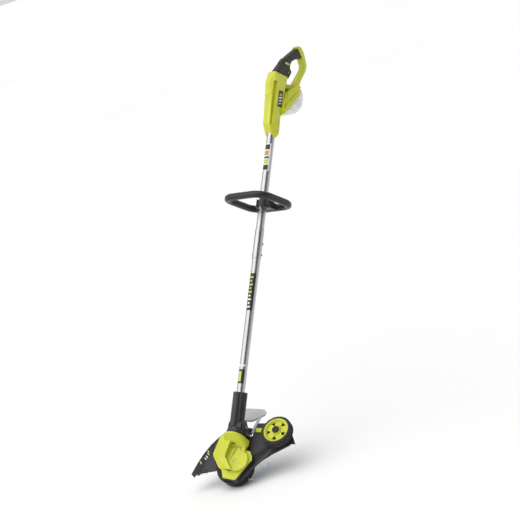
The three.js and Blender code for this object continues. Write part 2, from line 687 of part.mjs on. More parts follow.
function guard() {
  const plate = slabY(guardOutline(), GUARD_Y, GUARD_Y + PLATE, 12);
  const fan = [[-54, 4], [-72, -16], [-92, -46], [-107, -80], [-117, -112], [-124, -149]];
  const rim = skirt(fan, 2.6, GUARD_Y + 18);
  const lowerRim = skirt([[-94, -140], [-48, -129]], 2.6, GUARD_Y + 4);
  const edge = skirt([[76, -96], [96, -77], [118, -59], [166, -26]], 2.6, GUARD_Y + 7);
  const boss = layY(rod(11, 25, GUARD_Y + 1, 20), WHEEL_X, 0, WHEEL_Z);
  const shaftHole = layY(rod(11, 0, FAR, 20), MOTOR_X, 0, MOTOR_Z);
  const axleHole = layY(rod(AXLE_R + GAP, 0, FAR, 16), WHEEL_X, 0, WHEEL_Z);
  const slot = box(10.6, 20, 6.6, RELEASE_X + 2, GUARD_Y, RELEASE_Z);
  const tools = [shaftHole, axleHole, slot, cutterBlade(2 * GAP, 3), cutterHole(), ...guardScrewHoles(1.9)];
  return cut(join(plate, rim, lowerRim, edge, boss), ...tools);
}

// The pedal: two arms on the pivot pin and a tapered tread plate across their ends.
function footPedal() {
  const arm = outline([[36, 4], [44, 4], [46, 16], [50, 44], [56, 66], [50, 68], [43, 50], [35, 18]]);
  const arms = [1, -1].map((side) => {
    const x = side * PEDAL_ARM_X;
    return slabX(arm, x - WALL, x + WALL);
  });
  const plan = outline([[-12, -2], [12, -2], [24, 7], [34, 22], [43, 34], [42, 47], [30, 60], [-30, 60],
    [-42, 47], [-43, 34], [-34, 22], [-24, 7]]);
  const tread = slabY(plan, -3, 3).rotateX(-TREAD_SLOPE).translate(0, PEDAL_Y + 2, 47);
  return cut(join(...arms, tread), pinHoleX(PEDAL_PIN_R, PEDAL_Y, PEDAL_Z, 12));
}

function releaseButton() {
  const tab = box(18, 4.8, 14, RELEASE_X, GUARD_Y - GAP - 2.4, RELEASE_Z);
  const stem = box(5.4, 8, 6, RELEASE_X, GUARD_Y, RELEASE_Z);
  return join(tab, stem);
}

function wheelHub() {
  const disc = turned([[5.4, 0], [13, 0], [16, 4], [30, 6], [34, 1], [HUB_R, 0], [HUB_R, 26], [34, 26],
    [33, 12], [14, 10], [12.4, 26], [5.4, 26], [5.4, 0]], 40);
  const windows = [];
  for (let i = 0; i < 5; i++) {
    const window = outline([[16.5, 0], [29, -7.5], [30, 0], [29, 7.5]]);
    windows.push(slabZ(window, -5, 40).rotateZ((i * 72 + 18) * DEG));
  }
  return layY(cut(disc, ...windows), WHEEL_X, WHEEL_FRONT + 1, WHEEL_Z);
}

function wheelTyre() {
  const inner = HUB_R + GAP;
  const tread = WHEEL_R - 0.5;
  const profile = [[inner, 0], [WHEEL_R - 4, 0], [tread, 4], [tread, WHEEL_WIDTH - 4],
    [WHEEL_R - 4, WHEEL_WIDTH], [13, WHEEL_WIDTH], [13, WHEEL_WIDTH - 0.7], [inner, WHEEL_WIDTH - 0.7],
    [inner, 0]];
  return layY(turned(profile, 40), WHEEL_X, WHEEL_FRONT, WHEEL_Z);
}

// Rotor pieces are made on z and laid on the motor's axis, y pointing to the ground side.
function onMotor(geometry) {
  return layY(geometry, MOTOR_X, CUP_Y, MOTOR_Z);
}

function spoolCup() {
  const profile = [[4.3, 0], [49, 0], [CUP_R, 5], [CUP_R, 25], [46, 34], [34, 34], [34, 31.5], [45, 31.5],
    [50.5, 23.5], [50.5, 6], [48, 2.6], [4.3, 2.6], [4.3, 0]];
  const eyelet = box(12, 4, 4, 50, 0, 14).rotateZ(LINE_ANGLE);
  return onMotor(cut(turned(profile, 40), eyelet));
}

function lineSpool() {
  return onMotor(turned([[6, 6], [44, 6], [44, 8], [20, 8], [20, 24], [44, 24], [44, 26], [6, 26], [6, 6]]));
}

function bumpKnob() {
  return onMotor(turned([[0, 28.5], [31, 28.5], [31, 38], [24, 44], [0, 44]]));
}

function cuttingLine() {
  const points = [[47, 29, 14], [58, 30, 14], [72, 29, 14], [88, 13, 14], [96, -8, 14], [99, -30, 14]];
  const path = new THREE.CatmullRomCurve3(points.map((p) => new THREE.Vector3(...p)));
  const section = new THREE.Shape().absarc(0, 0, 1.2, 0, 2 * Math.PI);
  const options = { steps: 20, extrudePath: path, curveSegments: 3 };
  return onMotor(new THREE.ExtrudeGeometry(section, options));
}

function wheelAxle() {
  const shank = [[0, -4.6], [AXLE_R, -4.6], [AXLE_R, 39.4]];
  const nut = [[7, 39.4], [7, 42], [0, 42]];
  return layY(turned([...shank, ...nut], 16), WHEEL_X, 0, WHEEL_Z);
}

function addHead(group) {
  group.add(mesh("head_collar", headCollar(), "black"));
  group.add(mesh("hinge_pin", layX(rod(PIN_R, -30.5, 30.5, 16), 0, 0, 0), "steel"));
  group.add(mesh("motor_cover", motorCover(), "lime"));
  group.add(mesh("motor_base", motorBase(), "black"));
  const can = layY(tube(5, MOTOR_R, 15.5, 34, 28), MOTOR_X, 0, MOTOR_Z);
  group.add(mesh("motor_can", can, "steel"));
  const bearing = layY(tube(ROTOR_SHAFT_R + GAP, 10.6, 35, 39, 20), MOTOR_X, 0, MOTOR_Z);
  group.add(mesh("motor_bearing", bearing, "steel"));
  group.add(mesh("guard", guard(), "black"));
  GUARD_SCREWS.forEach(([x, z], i) => {
    const made = layY(screw(3.6, 2.2, 1.5, 14), x, GUARD_Y + PLATE + 2.4, z);
    group.add(mesh("guard_screw_" + (i + 1), made, "steel"));
  });
  group.add(mesh("line_cutter", cut(cutterBlade(0, 1.4), cutterHole()), "steel"));
  const cutterScrew = layY(screw(3.2, 1.8, 1.5, 5), CUTTER_SCREW[0], GUARD_Y + PLATE + 4.2, CUTTER_SCREW[2]);
  group.add(mesh("cutter_screw", cutterScrew, "steel"));
  group.add(mesh("wheel_axle", wheelAxle(), "steel"));
  group.add(mesh("wheel_cap", layY(rod(11, -7.6, -5, 20), WHEEL_X, 0, WHEEL_Z), "black"));
  group.add(mesh("pedal_pin", layX(rod(PEDAL_PIN_R, -35, 35, 12), 0, PEDAL_Y, PEDAL_Z), "steel"));
  group.add(mesh("foot_pedal", footPedal(), "grey"));
  group.add(mesh("release_button", releaseButton(), "lime"));
  group.add(mesh("wheel_hub", wheelHub(), "lime"));
  group.add(mesh("wheel_tyre", wheelTyre(), "rubber"));
  group.add(mesh("rotor_shaft", layY(rod(ROTOR_SHAFT_R, 16, 66, 12), MOTOR_X, 0, MOTOR_Z), "steel"));
  group.add(mesh("spool_cup", spoolCup(), "black"));
  group.add(mesh("line_spool", lineSpool(), "lime"));
  group.add(mesh("bump_knob", bumpKnob(), "black"));
  group.add(mesh("cutting_line", cuttingLine(), "nylon"));
}

// ---------------------------------------------------------------- assembly

const handle = new THREE.Group();
const neck = new THREE.Group();
const head = new THREE.Group();
addHandle(handle);
addShaft(handle);
addLoop(handle);
addNeck(neck);
addHead(head);
head.position.set(0, HINGE_Y, HINGE_Z);
head.rotation.x = -HEAD_TILT;
neck.rotation.z = HEAD_SWIVEL;
neck.add(head);

const edger = new THREE.Group();
edger.add(handle, neck);
edger.rotation.x = -LEAN;
edger.position.set(...SHAFT_FOOT);

const model = new THREE.Group();
model.add(edger);
export default model;
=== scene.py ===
"""A cordless string lawn edger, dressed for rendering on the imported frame.

Shapes are modelled in millimetres in one of two local frames and then placed in metres. The tool
frame has z up the shaft, x to the user's left and y towards the user. The head frame has its origin on
the tilt hinge, x along the hinge, y towards the ground side and z up the head.
"""

import json
import math

import bmesh
import bpy
from mathutils import Matrix, Vector
from mathutils.bvhtree import BVHTree

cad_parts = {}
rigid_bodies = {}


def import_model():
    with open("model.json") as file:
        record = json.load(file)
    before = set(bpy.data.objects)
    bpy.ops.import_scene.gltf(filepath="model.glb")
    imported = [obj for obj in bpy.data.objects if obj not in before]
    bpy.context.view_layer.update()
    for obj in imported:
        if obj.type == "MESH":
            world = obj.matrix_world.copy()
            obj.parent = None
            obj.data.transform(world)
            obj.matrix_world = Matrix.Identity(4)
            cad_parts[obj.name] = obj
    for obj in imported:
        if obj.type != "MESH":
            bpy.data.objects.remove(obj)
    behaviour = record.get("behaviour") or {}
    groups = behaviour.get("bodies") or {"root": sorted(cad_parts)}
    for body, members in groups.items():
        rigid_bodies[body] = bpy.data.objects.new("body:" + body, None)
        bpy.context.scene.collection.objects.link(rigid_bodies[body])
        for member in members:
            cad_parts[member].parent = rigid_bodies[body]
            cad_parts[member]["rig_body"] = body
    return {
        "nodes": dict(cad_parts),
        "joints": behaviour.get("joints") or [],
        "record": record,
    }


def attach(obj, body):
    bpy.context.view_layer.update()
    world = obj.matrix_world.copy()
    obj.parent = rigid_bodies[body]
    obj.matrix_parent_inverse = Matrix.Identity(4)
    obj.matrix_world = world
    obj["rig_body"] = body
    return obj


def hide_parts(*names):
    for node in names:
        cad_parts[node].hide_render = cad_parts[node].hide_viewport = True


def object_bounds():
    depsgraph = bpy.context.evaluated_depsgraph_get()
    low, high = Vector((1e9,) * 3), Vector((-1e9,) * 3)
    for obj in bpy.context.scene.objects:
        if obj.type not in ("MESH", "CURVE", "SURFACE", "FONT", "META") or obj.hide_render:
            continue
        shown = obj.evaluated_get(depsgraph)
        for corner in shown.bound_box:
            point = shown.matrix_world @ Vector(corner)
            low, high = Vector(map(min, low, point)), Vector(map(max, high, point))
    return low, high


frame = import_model()
CAD_LOW, CAD_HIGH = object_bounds()

MM = 0.001
DEG = math.pi / 180
JOINTS = {joint["name"]: joint for joint in frame["joints"]}


def basis(x, y, z, origin):
    """The matrix that takes millimetres in a local frame to metres in the row frame."""
    rotation = Matrix((x, y, z)).transposed().to_4x4()
    return Matrix.Translation(origin) @ rotation @ Matrix.Scale(MM, 4)


SWIVEL = JOINTS["head_swivel"]
SWIVEL_HEIGHT = 60  # the swivel joint's point, up the shaft from the tool frame's origin
TILT = JOINTS["head_tilt"]
SPIN = JOINTS["wheel_spin"]
TOOL_X = Vector((1, 0, 0))
TOOL_Z = Vector(SWIVEL["axis"])
TOOL_Y = TOOL_Z.cross(TOOL_X)
TOOL = basis(TOOL_X, TOOL_Y, TOOL_Z, Vector(SWIVEL["pos_m"]) - TOOL_Z * SWIVEL_HEIGHT * MM)
HEAD_X = -Vector(TILT["axis"])
HEAD_Y = -Vector(SPIN["axis"])
HEAD_Z = HEAD_X.cross(HEAD_Y)
HEAD = basis(HEAD_X, HEAD_Y, HEAD_Z, Vector(TILT["pos_m"]))


def local_box(node, local):
    """A node's lowest and highest corner in a local frame, in millimetres."""
    inverse = local.inverted()
    points = [inverse @ vertex.co for vertex in frame["nodes"][node].data.vertices]
    low = Vector([min(p[i] for p in points) for i in range(3)])
    high = Vector([max(p[i] for p in points) for i in range(3)])
    return low, high


# ------------------------------------------------------------------ materials


class Nodes:
    """A material's node tree, with short calls to add nodes and links."""

    def __init__(self, name):
        self.material = bpy.data.materials.new(name)
        self.material.use_nodes = True
        self.tree = self.material.node_tree
        self.shader = self.tree.nodes["Principled BSDF"]
        self.place = self.add("ShaderNodeTexCoord").outputs["Object"]

    def add(self, kind, **values):
        node = self.tree.nodes.new(kind)
        for key, value in values.items():
            if hasattr(node, key):
                setattr(node, key, value)
            else:
                node.inputs[key].default_value = value
        return node

    def link(self, output, target):
        self.tree.links.new(output, target)

    def noise(self, scale, detail=3.0, roughness=0.55):
        node = self.add("ShaderNodeTexNoise")
        node.inputs["Scale"].default_value = scale
        node.inputs["Detail"].default_value = detail
        node.inputs["Roughness"].default_value = roughness
        self.link(self.place, node.inputs["Vector"])
        return node.outputs["Fac"]

    def spread(self, output, low, high, start=0.3, end=0.7):
        node = self.add("ShaderNodeMapRange")
        node.inputs["From Min"].default_value = start
        node.inputs["From Max"].default_value = end
        node.inputs["To Min"].default_value = low
        node.inputs["To Max"].default_value = high
        self.link(output, node.inputs["Value"])
        return node.outputs["Result"]

    def mix(self, factor, first, second):
        node = self.add("ShaderNodeMix", data_type="RGBA")
        for value, key in ((factor, "Factor"), (first, "A"), (second, "B")):
            target = next(i for i in node.inputs if i.name == key and i.enabled)
            if isinstance(value, bpy.types.NodeSocket):
                self.link(value, target)
            elif target.type == "RGBA":
                target.default_value = (*value, 1.0)
            else:
                target.default_value = value
        return node.outputs["Result"]

    def bump(self, height, strength, distance):
        node = self.add("ShaderNodeBump")
        node.inputs["Strength"].default_value = strength
        node.inputs["Distance"].default_value = distance
        self.link(height, node.inputs["Height"])
        previous = self.shader.inputs["Normal"]
        if previous.is_linked:
            self.link(previous.links[0].from_socket, node.inputs["Normal"])
        self.link(node.outputs["Normal"], previous)

    def edges(self, low=0.52, high=0.60):
        pointiness = self.add("ShaderNodeNewGeometry").outputs["Pointiness"]
        return self.spread(pointiness, 0.0, 1.0, low, high)


def shade(colour, factor):
    return tuple(min(1.0, channel * factor) for channel in colour)


def plastic(name, colour, roughness, grain=900, relief=0.12, wear=0.3, coat=0.0, mottle=0.06,
            shine=0.5):
    """Moulded plastic: spark-eroded grain, slight colour drift, paler rubbed edges."""
    n = Nodes(name)
    drift = n.spread(n.noise(35), 0.0, 1.0)
    base = n.mix(drift, shade(colour, 1 - mottle), shade(colour, 1 + mottle))
    rubbed = tuple(c + (1 - c) * 0.12 for c in shade(colour, 1.25))
    worn = n.add("ShaderNodeMath", operation="MULTIPLY")
    n.link(n.edges(), worn.inputs[0])
    worn.inputs[1].default_value = wear
    n.link(n.mix(worn.outputs[0], base, rubbed), n.shader.inputs["Base Color"])
    n.link(n.spread(n.noise(220), roughness - 0.06, roughness + 0.08), n.shader.inputs["Roughness"])
    n.shader.inputs["Specular IOR Level"].default_value = shine
    n.shader.inputs["Coat Weight"].default_value = coat
    n.shader.inputs["Coat Roughness"].default_value = 0.25
    n.bump(n.noise(grain, 2.0), relief, 0.0002)
    return n.material


def rubber(name, colour, roughness, grain, relief):
    """Soft rubber: matt, with a fine pebbled surface and dusty high spots."""
    n = Nodes(name)
    dust = n.spread(n.noise(60), 0.0, 0.5)
    n.link(n.mix(dust, colour, shade(colour, 2.0)), n.shader.inputs["Base Color"])
    n.link(n.spread(n.noise(300), roughness - 0.08, roughness + 0.08), n.shader.inputs["Roughness"])
    cells = n.add("ShaderNodeTexVoronoi")
    cells.inputs["Scale"].default_value = grain
    n.link(n.place, cells.inputs["Vector"])
    n.bump(cells.outputs["Distance"], relief, 0.0004)
    return n.material


def metal(name, colour, roughness, brushed=0.04):
    """Drawn or turned metal: fine lines and faint smudges."""
    n = Nodes(name)
    smudge = n.spread(n.noise(25), 0.0, 1.0)
    n.link(n.mix(smudge, shade(colour, 0.93), colour), n.shader.inputs["Base Color"])
    n.shader.inputs["Metallic"].default_value = 1.0
    n.link(n.spread(n.noise(130), roughness - 0.04, roughness + 0.06), n.shader.inputs["Roughness"])
    lines = n.add("ShaderNodeTexNoise")
    mapping = n.add("ShaderNodeMapping")
    mapping.inputs["Scale"].default_value = (1.0, 0.05, 0.05)
    n.link(n.place, mapping.inputs["Vector"])
    n.link(mapping.outputs["Vector"], lines.inputs["Vector"])
    lines.inputs["Scale"].default_value = 2500
    n.bump(lines.outputs["Fac"], brushed, 0.00005)
    return n.material


def frosted(name, colour):
    """Pale, see-through frosted plastic."""
    n = Nodes(name)
    drift = n.spread(n.noise(40), 0.0, 1.0)
    n.link(n.mix(drift, shade(colour, 0.96), colour), n.shader.inputs["Base Color"])
    n.link(n.spread(n.noise(200), 0.45, 0.6), n.shader.inputs["Roughness"])
    n.shader.inputs["Alpha"].default_value = 0.55
    n.bump(n.noise(900, 2.0), 0.08, 0.0002)
    return n.material


LIME = (0.55, 0.58, 0.020)
MATERIALS = {
    "lime": plastic("lime_plastic", LIME, 0.45, coat=0.1),
    "lime_mark": plastic("lime_mark_paint", (0.55, 0.56, 0.08), 0.5, wear=0.1),
    "black": plastic("black_plastic", (0.014, 0.014, 0.015), 0.5, shine=0.3),
    "black_gloss": plastic("black_gloss_plastic", (0.012, 0.012, 0.013), 0.28, relief=0.03, coat=0.3),
    "neck_black": plastic("neck_black_plastic", (0.020, 0.020, 0.021), 0.40, relief=0.08, shine=0.4),
    "loop_black": plastic("loop_black_plastic", (0.012, 0.012, 0.013), 0.34, relief=0.05, shine=0.35),
    "guard_black": plastic("guard_black_plastic", (0.013, 0.013, 0.014), 0.55, grain=700, relief=0.2,
                           shine=0.25),
    "grip_rubber": rubber("grip_rubber", (0.014, 0.014, 0.015), 0.5, 900, 0.25),
    "tyre": rubber("tyre_rubber", (0.024, 0.024, 0.025), 0.75, 500, 0.35),
    "tube": metal("tube_aluminium", (0.46, 0.47, 0.48), 0.25),
    "steel": metal("turned_steel", (0.60, 0.61, 0.63), 0.28, 0.08),
    "screw_steel": metal("screw_steel", (0.42, 0.43, 0.45), 0.32, 0.08),
    "pedal_grey": plastic("pedal_grey_plastic", (0.50, 0.51, 0.51), 0.45, mottle=0.04),
    "frost": frosted("frosted_plastic", (0.90, 0.90, 0.92)),
    "nylon": plastic("nylon_line", (0.22, 0.36, 0.52), 0.30, relief=0.02, wear=0.0),
    "cable": rubber("cable_sheath", (0.02, 0.02, 0.02), 0.6, 1500, 0.1),
    "white_mark": plastic("white_mark_paint", (0.80, 0.80, 0.78), 0.5, wear=0.0),
    "black_mark": plastic("black_mark_paint", (0.015, 0.015, 0.016), 0.4, wear=0.0),
    "amber_mark": plastic("amber_mark_paint", (0.62, 0.26, 0.03), 0.5, wear=0.0),
    # Painted shade: a darker copy of the lime, laid on the motor cover's ribs and marks for the shade
    # that falls in the moulding.
    "lime_painted_shade": plastic("lime_painted_shade_plastic", (0.20, 0.22, 0.02), 0.6),
}

SLOT_OF = {part["node"]: part["material_slot"] for part in frame["record"]["subparts"]}


def paint(piece, slot):
    piece.data.materials.clear()
    piece.data.materials.append(MATERIALS[slot])


for node_name, node_object in frame["nodes"].items():
    paint(node_object, SLOT_OF[node_name])


# ------------------------------------------------------------------ mesh tools

# Angles in degrees, distances in metres.
BEVEL_ANGLE = 28  # edges sharper than this are rounded
SHADING_ANGLE = 40  # edges sharper than this stay sharp in the shading
NODE_SHADING_ANGLE = 35  # the same for the CAD nodes that stay
FLAT_ANGLE = 0.6  # neighbouring faces flatter than this are merged
CAD_MERGE = 2e-5  # vertices closer than this are joined
DETAIL_MERGE = 1e-6


def link(name, mesh):
    piece = bpy.data.objects.new(name, mesh)
    bpy.context.scene.collection.objects.link(piece)
    return piece


def bake(piece):
    """Applies the piece's modifiers to its mesh."""
    graph = bpy.context.evaluated_depsgraph_get()
    made = bpy.data.meshes.new_from_object(piece.evaluated_get(graph))
    old = piece.data
    piece.modifiers.clear()
    piece.data = made
    bpy.data.meshes.remove(old)
    return piece


def smooth(piece, angle):
    """Smooth shading that breaks at edges sharper than the angle, in degrees."""
    for polygon in piece.data.polygons:
        polygon.use_smooth = True
    piece.data.set_sharp_from_angle(angle=angle * DEG)


def tidy_mesh(mesh, merge, flat):
    """Joins split vertices, merges faces flatter than an angle and points the faces out."""
    bm = bmesh.new()
    bm.from_mesh(mesh)
    bmesh.ops.remove_doubles(bm, verts=bm.verts, dist=merge)
    if flat:
        bmesh.ops.dissolve_limit(bm, angle_limit=flat * DEG, verts=bm.verts, edges=bm.edges)
    bmesh.ops.recalc_face_normals(bm, faces=bm.faces)
    bm.to_mesh(mesh)
    bm.free()


def bevel(piece, width):
    """Rounds the piece's sharper edges; width is in metres."""
    modifier = piece.modifiers.new("round", "BEVEL")
    modifier.width = width
    modifier.segments = 3
    modifier.limit_method = "ANGLE"
    modifier.angle_limit = BEVEL_ANGLE * DEG
    modifier.use_clamp_overlap = True
    modifier.miter_outer = "MITER_ARC"
    weighted = piece.modifiers.new("weight", "WEIGHTED_NORMAL")
    weighted.keep_sharp = True


def body_of(node):
    return frame["nodes"][node]["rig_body"]


def area(mesh):
    """The area of a mesh's triangles, as they are rendered."""
    mesh.calc_loop_triangles()
    return sum(triangle.area for triangle in mesh.loop_triangles)


def stand_for(piece, node):
    """Gives the piece a CAD node's finish and body, and hides the node."""
    paint(piece, SLOT_OF[node])
    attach(piece, body_of(node))
    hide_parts(node)


def rounded_copy(source, name, width, flat):
    piece = link(name, source.data.copy())
    tidy_mesh(piece.data, CAD_MERGE, flat)
    smooth(piece, SHADING_ANGLE)
    bevel(piece, width * MM)
    return bake(piece)


AREA_CHANGE = 0.08  # rounding changes a piece's area by less than this share


def refined(node, width):
    """A copy of a CAD node with rounded edges, standing for the node on the same body.

    A merged face with holes in it can close them when it is rounded, and its area shows that. The copy
    is then made again from the unmerged triangles, and at last with a much smaller rounding.
    """
    source = frame["nodes"][node]
    for flat, share in ((FLAT_ANGLE, 1), (0.0, 1), (0.0, 0.2)):
        piece = rounded_copy(source, node + "_fine", width * share, flat)
        change = abs(area(piece.data) / area(source.data) - 1)
        if change < AREA_CHANGE:
            stand_for(piece, node)
            return
        bpy.data.objects.remove(piece)


def closed_mesh(name, verts, faces, local, shading):
    """A closed mesh, given in millimetres in a local frame."""
    mesh = bpy.data.meshes.new(name)
    mesh.from_pydata([local @ Vector(v) for v in verts], [], faces)
    piece = link(name, mesh)
    tidy_mesh(mesh, DETAIL_MERGE, 0.05)
    smooth(piece, shading)
    return piece


# ------------------------------------------------------------------ refined CAD pieces

ROUNDED = {  # the edges' rounding, in millimetres
    "housing_left": 0.9, "housing_right": 0.9, "trigger": 0.8, "lock_off_button": 0.6,
    "battery_case": 1.2, "battery_latch_left": 0.5, "battery_latch_right": 0.5, "clamp_knob": 0.7,
    "neck_half_near": 0.9, "neck_half_far": 0.9, "head_collar": 0.9, "motor_cover": 1.0,
    "motor_base": 0.7,
    "guard": 0.5, "foot_pedal": 0.9, "release_button": 0.7, "wheel_hub": 0.5, "wheel_cap": 0.8,
    "spool_cup": 0.8, "bump_knob": 0.8, "badge_plate": 0.3, "coupling_sleeve": 0.2,
    "grip_sleeve": 0.8,
}
for node_name, edge in ROUNDED.items():
    refined(node_name, edge)


# ------------------------------------------------------------------ detail pieces


def surface(node, local, point, direction):
    """Where a ray in a local frame first meets a CAD node, in that frame's millimetres."""
    inverse = local.inverted()
    data = frame["nodes"][node].data
    points = [inverse @ vertex.co for vertex in data.vertices]
    tree = BVHTree.FromPolygons(points, [tuple(polygon.vertices) for polygon in data.polygons])
    return tree.ray_cast(Vector(point), Vector(direction))[0]


def prism(name, points, lay, low, high, local, node, paint_name):
    """A closed plate on a node: an outline pushed from low to high, placed by lay(u, v, w)."""
    count = len(points)
    verts = [lay(u, v, w) for w in (low, high) for u, v in points]
    faces = [list(range(count))[::-1], list(range(count, 2 * count))]
    faces += [[i, (i + 1) % count, count + (i + 1) % count, count + i] for i in range(count)]
    piece = closed_mesh(name, verts, faces, local, SHADING_ANGLE)
    paint(piece, paint_name)
    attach(piece, body_of(node))


def centre(points):
    return [sum(point[k] for point in points) / len(points) for k in range(2)]


def bar(start, end, width):
    """The outline of a straight bar between two points."""
    along = Vector((end[0] - start[0], end[1] - start[1])).normalized() * width / 2
    side = Vector((-along.y, along.x))
    return [(start[0] - side.x, start[1] - side.y), (end[0] - side.x, end[1] - side.y),
            (end[0] + side.x, end[1] + side.y), (start[0] + side.x, start[1] + side.y)]


def ring_grid(rows):
    """The vertices and faces of a closed grid whose rows and columns both run round."""
    faces = []
    count = len(rows[0])
    for i in range(len(rows)):
        here, after = i * count, (i + 1) % len(rows) * count
        for j in range(count):
            k = (j + 1) % count
            faces.append([here + j, here + k, after + k, after + j])
    return [vertex for row in rows for vertex in row], faces


LUGS = 34
LUG_DEPTH = 3.2
LUG_EDGES = (0.0, 0.07, 0.5, 0.57)  # where a lug's flanks start and end, in pitches
HUB_CLEARANCE = 0.3
WEB_RADIUS = 13  # the inner edge of the thin web behind the hub
WEB_THICK = 0.7


def tyre():
    """The tyre, with two staggered rows of tread lugs."""
    low, high = local_box("wheel_tyre", HEAD)
    hub_low, hub_high = local_box("wheel_hub", HEAD)
    centre_x, centre_z = (low.x + high.x) / 2, (low.z + high.z) / 2
    outer = (high.x - low.x) / 2
    inner = (hub_high.x - hub_low.x) / 2 + HUB_CLEARANCE
    groove = outer - LUG_DEPTH
    width = high.y - low.y
    middle = width / 2
    rows = []
    for i in range(LUGS * len(LUG_EDGES)):
        pitch, edge = divmod(i, len(LUG_EDGES))
        turn = (pitch + LUG_EDGES[edge]) / LUGS * 2 * math.pi
        front, back = (outer, groove) if edge in (1, 2) else (groove, outer)
        profile = [(inner, 0), (outer - 4.5, 0), (outer - 3.4, 0.8), (front - 1.4, 2.4), (front, 5),
                   (front, middle - 1.2), (groove, middle - 0.6), (groove, middle + 0.6),
                   (back, middle + 1.2), (back, width - 5), (back - 1.4, width - 2.4),
                   (outer - 3.4, width - 0.8), (outer - 4.5, width), (WEB_RADIUS, width),
                   (WEB_RADIUS, width - WEB_THICK), (inner, width - WEB_THICK)]
        rows.append([(centre_x + r * math.cos(turn), low.y + y, centre_z + r * math.sin(turn))
                     for r, y in profile])
    verts, faces = ring_grid(rows)
    stand_for(closed_mesh("wheel_tyre_tread", verts, faces, HEAD, 30), "wheel_tyre")


BAR_CORNER = 39  # the loop's corner, along the middle of its bar
BAR_RADIUS = 11
BAR_CORE = 8.8  # points nearer the bar's centre line than this stay where they are


def loop_bar():
    """The loop handle, with the section of its bar drawn round."""
    low, high = local_box("loop_handle", TOOL)
    middle = (low + high) / 2
    straight_x = (high.x - low.x) / 2 - BAR_RADIUS - BAR_CORNER
    straight_y = (high.y - low.y) / 2 - BAR_RADIUS - BAR_CORNER
    piece = link("loop_handle_fine", frame["nodes"]["loop_handle"].data.copy())
    inverse = TOOL.inverted()
    for vertex in piece.data.vertices:
        point = inverse @ vertex.co - middle
        inside = Vector((max(-straight_x, min(straight_x, point.x)),
                         max(-straight_y, min(straight_y, point.y)), 0))
        out = Vector((point.x, point.y, 0)) - inside
        if out.length < BAR_CORNER - BAR_RADIUS - 1:
            continue
        line = inside + out.normalized() * BAR_CORNER
        off = point - line
        if off.length > BAR_CORE:
            vertex.co = TOOL @ (middle + line + off.normalized() * BAR_RADIUS)
    tidy_mesh(piece.data, CAD_MERGE, 0.1)
    smooth(piece, 44)
    stand_for(piece, "loop_handle")


LABEL_THICK = 0.05
LABEL_CLEARANCE = 0.02
LABEL_ARC = (-150, -22)  # degrees round the tube, from the user's left towards the user


def tube_patch(name, tube, heights, paint_name, arc=LABEL_ARC, layer=0):
    """A thin label on a tube, between two heights and two turns round it."""
    corner, far = local_box(tube, TOOL)
    inner = (far.x - corner.x) / 2 + LABEL_CLEARANCE + LABEL_THICK * layer
    outer = inner + LABEL_THICK
    start, end = arc
    steps = max(2, round(abs(end - start) / 6))
    turns = [(start + (end - start) * i / steps) * DEG for i in range(steps + 1)]
    section = [(inner * math.cos(turn), inner * math.sin(turn)) for turn in turns]
    section += [(outer * math.cos(turn), outer * math.sin(turn)) for turn in reversed(turns)]
    prism(name, section, lambda u, v, w: (u, v, w), *heights, TOOL, tube, paint_name)


def lower_label():
    """A long dark label with short and long bars, pale below and green above."""
    low, high = 361, 476
    middle = sum(LABEL_ARC) / 2
    pitch = 11.5
    tube_patch("lower_label", "lower_shaft", (low, high), "black_mark")
    for i in range(9):
        start = low + 8 + pitch * i
        reach = 16 if i % 2 else 30
        tube_patch(f"lower_label_bar_{i}", "lower_shaft", (start, start + 5),
                   "white_mark" if i < 4 else "lime_mark", (middle - reach, middle + reach), 1)


def upper_label():
    """A white label with dark, green and amber bands."""
    low, high = 801, 889
    tube_patch("upper_label", "upper_shaft", (low, high), "white_mark")
    bands = [(3, 19, "black_mark"), (22, 37, "lime_mark"), (40, 46, "black_mark"),
             (50, 65, "amber_mark"), (69, 85, "black_mark")]
    for i, (start, end, paint_name) in enumerate(bands):
        tube_patch(f"upper_label_bar_{i}", "upper_shaft", (low + start, low + end), paint_name,
                   (-136, -40 - 12 * (i % 2)), 1)


def foot_labels():
    """The white band and the small dark label above the neck."""
    tube_patch("foot_band", "lower_shaft", (189, 195), "white_mark")
    tube_patch("foot_label", "lower_shaft", (137, 180), "black_mark")
    tube_patch("foot_label_bar", "lower_shaft", (143, 174), "lime_mark", (-118, -66), 1)


RAY_START = 120  # outside the tool, on the side that a ray comes from


def on_side(x):
    """Lays an outline of (y, z) points on a face square to the tool's x."""
    return lambda u, v, w: (x + w, u, v)


def badge_bars():
    """Slanted pale bars in the middle of the dark badge."""
    low, high = local_box("badge_plate", TOOL)
    height = high.z - low.z
    middle = (low.y + high.y) / 2
    for i in range(4):
        z = low.z + height * (0.2 + 0.17 * i)
        half = 5.6 if i % 2 else 7.0
        points = bar((middle - half, z - 1.2), (middle + half, z + 3.2), 4.2)
        prism(f"badge_bar_{i}", points, on_side(high.x), -0.2, 0.25, TOOL, "badge_plate",
              "lime_mark" if i in (0, 3) else "white_mark")


def housing_line():
    """The dark joint line down the side of the housing, from the trigger to the tail's root."""
    path = [(33, 1108), (24, 1096), (20.5, 1070), (17.5, 1030), (14.5, 992)]
    for i in range(len(path) - 1):
        found = surface("housing_left", TOOL, (RAY_START, *centre(path[i:i + 2])), (-1, 0, 0))
        if found is not None:
            prism(f"housing_line_{i}", bar(path[i], path[i + 1], 1.1), on_side(found.x), -0.5, 0.12, TOOL,
                  "housing_left", "black_mark")


def trigger_line():
    """A thin green line moulded along the trigger's side."""
    low, high = local_box("trigger", TOOL)
    start = (low.y + (high.y - low.y) * 0.35, low.z + (high.z - low.z) * 0.18)
    end = (low.y + (high.y - low.y) * 0.72, low.z + (high.z - low.z) * 0.62)
    prism("trigger_line", bar(start, end, 1.4), on_side(high.x), -0.6, 0.15, TOOL, "trigger",
          "lime_mark")


def on_head(y):
    """Lays an outline of (x, z) points on a face square to the head's y; w comes towards the front."""
    return lambda u, v, w: (u, y - w, v)


